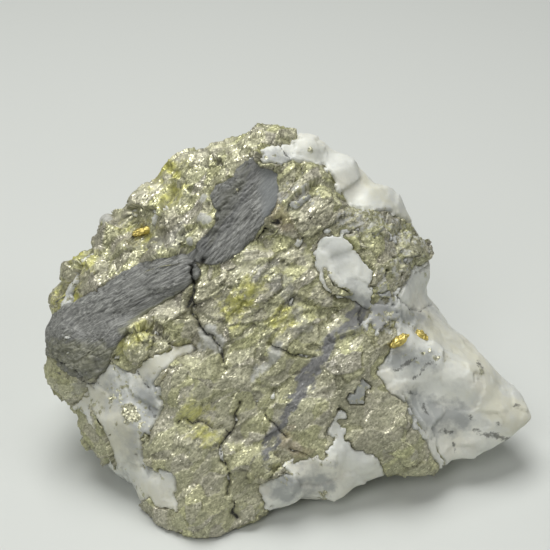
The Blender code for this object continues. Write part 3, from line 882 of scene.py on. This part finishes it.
def quartz_material():
    material, tree, shader = new_material("milky quartz")
    broad = noise(tree, 9.0, 4.0, 0.55).outputs["Fac"]
    cloud = noise(tree, 2.6, 5.0, 0.6).outputs["Fac"]
    fine = noise(tree, 0.9, 5.0, 0.62).outputs["Fac"]
    colour = ramp(tree, broad, [(0.35, (0.66, 0.675, 0.63)), (0.5, (0.74, 0.75, 0.68)),
                               (0.65, (0.76, 0.75, 0.65))])
    colour = mix(tree, 0.4, colour, ramp(tree, cloud, [(0.35, 0.7), (0.55, 1.0)]), "MULTIPLY")
    colour = stained(tree, colour, patchy(tree, "blue", 2.2, 1.6), 0.8, (0.33, 0.345, 0.335))
    colour = stained(tree, colour, patchy(tree, "vein", 1.2, 2.0), 0.7, (0.30, 0.305, 0.30))
    colour = stained(tree, colour, patchy(tree, "cream", 2.6, 1.5), 0.65, (0.60, 0.585, 0.45))
    colour = stained(tree, colour, patchy(tree, "dark", 0.6, 2.5), 0.75, (0.08, 0.08, 0.07))
    # Painted shade: the colour darkens in hollows and creases
    colour = mix(tree, 0.8, colour, ramp(tree, mask(tree, "painted_crevice_shade"), [(0.05, 1.0), (0.4, 0.75)]), "MULTIPLY")
    # Painted shade: the cracks are coloured near black, standing in for the shade inside them
    colour = mix(tree, near_crack(tree), colour, (0.06, 0.058, 0.05))
    connect(tree, shader.inputs["Base Color"], colour)
    connect(tree, shader.inputs["Roughness"], ramp(tree, fine, [(0.3, 0.4), (0.7, 0.6)]))
    shader.inputs["Subsurface Weight"].default_value = 0.4
    shader.inputs["Subsurface Radius"].default_value = (1.0, 0.95, 0.85)
    shader.inputs["Subsurface Scale"].default_value = 1.6 * MM
    bump = node(tree, "Bump", {"Height": fine, "Strength": 0.3, "Distance": 0.2 * MM})
    connect(tree, shader.inputs["Normal"], bump.outputs["Normal"])

    # The pyrite specks' colour includes the painted glints of its grains
    grain_colour, _, _ = pyrite_look(tree)
    metal = node(tree, "BsdfPrincipled", {"Base Color": grain_colour, "Metallic": 0.6, "Roughness": 0.4,
                                          "Normal": glinting_normal(tree, 0.3, 0.8)})
    crumbs = noise(tree, 1.0, 4.0, 0.65).outputs["Fac"]
    share = sums(tree, "MULTIPLY_ADD", crumbs, 2.0, sums(tree, "MULTIPLY", mask(tree, "grains"), 0.36))
    share = sums(tree, "MULTIPLY_ADD", sums(tree, "SUBTRACT", share, 1.45), 8.0, 0.0, clamp=True)
    spot = sums(tree, "MULTIPLY_ADD", crumbs, 3.0, mask(tree, "pyrite"))
    spot = sums(tree, "MULTIPLY_ADD", sums(tree, "SUBTRACT", spot, 1.6), 3.0, 0.0, clamp=True)
    both = node(tree, "MixShader", {"Fac": sums(tree, "MAXIMUM", share, spot)})
    tree.links.new(shader.outputs[0], both.inputs[1])
    tree.links.new(metal.outputs[0], both.inputs[2])
    tree.links.new(both.outputs[0], tree.nodes["Material Output"].inputs["Surface"])
    return material


def slab_material():
    material, tree, shader = new_material("wall rock")
    strands = noise(tree, 0.36, 4.0, 0.7).outputs["Fac"]
    threads = noise(tree, 0.15, 3.0, 0.65).outputs["Fac"]
    broad = noise(tree, 3.0, 4.0).outputs["Fac"]
    colour = ramp(tree, strands, [(0.32, (0.125, 0.128, 0.118)), (0.5, (0.20, 0.203, 0.186)),
                                  (0.66, (0.33, 0.335, 0.305))])
    colour = mix(tree, 0.8, colour, ramp(tree, threads, [(0.36, 0.55), (0.6, 1.35)]), "MULTIPLY")
    colour = mix(tree, 0.4, colour, ramp(tree, broad, [(0.35, 0.7), (0.65, 1.15)]), "MULTIPLY")
    colour = stained(tree, colour, patchy(tree, "lip", 1.0), 0.6, (0.27, 0.275, 0.17))
    crumbs = sums(tree, "MULTIPLY", patchy(tree, "rough", 1.0, 2.0), noise(tree, 0.7, 3.0).outputs["Fac"])
    colour = mix(tree, crumbs, colour, (0.24, 0.24, 0.15))
    colour = stained(tree, colour, mask(tree, "dark"), 0.6, (0.085, 0.088, 0.086))
    colour = stained(tree, colour, mask(tree, "smooth"), 0.7, (0.20, 0.215, 0.215))
    # Painted shade: the colour darkens in hollows and creases
    colour = mix(tree, 0.7, colour, ramp(tree, mask(tree, "painted_crevice_shade"), [(0.0, 1.0), (0.25, 0.45)]), "MULTIPLY")
    # Painted shade: the cracks are coloured near black, standing in for the shade inside them
    colour = mix(tree, near_crack(tree), colour, (0.02, 0.019, 0.017))
    connect(tree, shader.inputs["Base Color"], colour)
    shader.inputs["Roughness"].default_value = 0.5
    bump = node(tree, "Bump", {"Height": strands, "Strength": 0.6, "Distance": 0.2 * MM})
    connect(tree, shader.inputs["Normal"], bump.outputs["Normal"])
    return material


def gold_material():
    material, _, shader = new_material("gold")
    shader.inputs["Base Color"].default_value = (0.72, 0.59, 0.19, 1.0)
    shader.inputs["Metallic"].default_value = 0.9
    shader.inputs["Roughness"].default_value = 0.38
    return material


def dress(piece, material, slot, *nodes):
    """Hands a piece its material and its place in the frame."""
    piece.data.materials.clear()
    piece.data.materials.append(material)
    piece.data.shade_smooth()
    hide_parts(*nodes)
    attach(piece, "root")


# Studio

def make_floor():
    mesh = bpy.data.meshes.new("floor")
    mesh.from_pydata([(-3, -3, 0), (3, -3, 0), (3, 3, 0), (-3, 3, 0)], [], [(0, 1, 2, 3)])
    floor = bpy.data.objects.new("floor", mesh)
    bpy.context.scene.collection.objects.link(floor)
    material, _, shader = new_material("floor")
    shader.inputs["Base Color"].default_value = (0.61, 0.63, 0.595, 1.0)
    shader.inputs["Roughness"].default_value = 0.6
    mesh.materials.append(material)


def make_light(name, place, size, watts):
    """A soft square light that is aimed at the specimen's middle."""
    light = bpy.data.lights.new(name, "AREA")
    light.energy = watts
    light.size = size
    obj = bpy.data.objects.new(name, light)
    obj.location = place
    obj.rotation_euler = (Vector(MIDDLE) - Vector(place)).to_track_quat("-Z", "Y").to_euler()
    bpy.context.scene.collection.objects.link(obj)


def make_studio():
    scene = bpy.context.scene
    camera = bpy.data.cameras.new("camera")
    camera.lens = LENS
    camera.clip_start = 0.01
    obj = bpy.data.objects.new("camera", camera)
    obj.location = CAMERA_AT
    obj.rotation_euler = (math.pi / 2 - CAMERA_PITCH, 0, 0)
    scene.collection.objects.link(obj)
    scene.camera = obj
    make_light("overhead", (-0.08, 0.12, 0.54), 0.36, 2.7)
    make_light("front", (-0.16, -0.36, 0.40), 0.22, 0.75)
    make_light("side", (0.34, -0.12, 0.30), 0.14, 0.2)
    world = bpy.data.worlds.new("world")
    scene.world = world
    world.use_nodes = True
    world.node_tree.nodes["Background"].inputs[0].default_value = (0.5, 0.5, 0.5, 1)
    world.node_tree.nodes["Background"].inputs[1].default_value = 0.30
    scene.view_settings.view_transform = "Standard"


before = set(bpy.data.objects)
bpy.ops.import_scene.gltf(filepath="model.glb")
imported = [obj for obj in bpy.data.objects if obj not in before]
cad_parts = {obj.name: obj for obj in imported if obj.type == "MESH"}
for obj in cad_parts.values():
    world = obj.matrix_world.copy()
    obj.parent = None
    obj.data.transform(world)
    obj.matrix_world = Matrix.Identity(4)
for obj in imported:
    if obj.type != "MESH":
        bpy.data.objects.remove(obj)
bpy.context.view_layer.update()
# The solids of all minerals but the quartz, to look up how deep a point lies in them
trees = {}
for mineral in MINERAL_NODES[1:]:
    solid = bmesh.new()
    solid.from_mesh(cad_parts[mineral].data)
    bmesh.ops.remove_doubles(solid, verts=solid.verts, dist=0.002 * MM)
    bmesh.ops.scale(solid, vec=(1 / MM, 1 / MM, 1 / MM), verts=solid.verts)
    trees[mineral] = BVHTree.FromBMesh(solid)
    solid.free()

rock = base_rock()
surface = Surface(rock.data)
bodies = []
for name, nodes, grid, direction, stretch, relief in (
    ("pyrite_main", ["pyrite_main_mass"], PYRITE_GRID, 40, 1.7, pyrite_relief),
    ("pyrite_upper", ["pyrite_upper_mass", "wall_rock_upper"], PYRITE_GRID, 55, 1.5, pyrite_relief),
    ("pyrite_left", ["pyrite_left_edge"], PYRITE_GRID, 40, 1.4, pyrite_relief),
    ("slab_lower", ["wall_rock_lower"], SLAB_GRID, 27, 14.0, slab_relief),
    ("slab_upper", ["wall_rock_upper"], SLAB_GRID, 48, 6.0, slab_relief),
):
    bodies.append((make_mineral(name, nodes, grid, direction, stretch, relief), nodes[0]))
quartz = make_quartz(rock, [body for body, _ in bodies])

pyrite, slab, gold = pyrite_material(), slab_material(), gold_material()
dress(quartz, quartz_material(), "milky_quartz", "quartz_matrix")
for body, node_name in bodies:
    if "pyrite" in node_name:
        dress(body, pyrite, "pyrite", node_name)
    else:
        dress(body, slab, "wall_rock", node_name)
for name, lift, direction, stretch in (
    ("gold_grain_leaf", 0.3, 40, 1.25),
    ("gold_grain_right", 0.6, -60, 1.15),
    ("gold_grain_left", 0.1, 20, 1.2),
):
    dress(make_gold(name.replace("gold_grain", "gold"), name, lift, direction, stretch), gold, "gold", name)

make_floor()
make_studio()
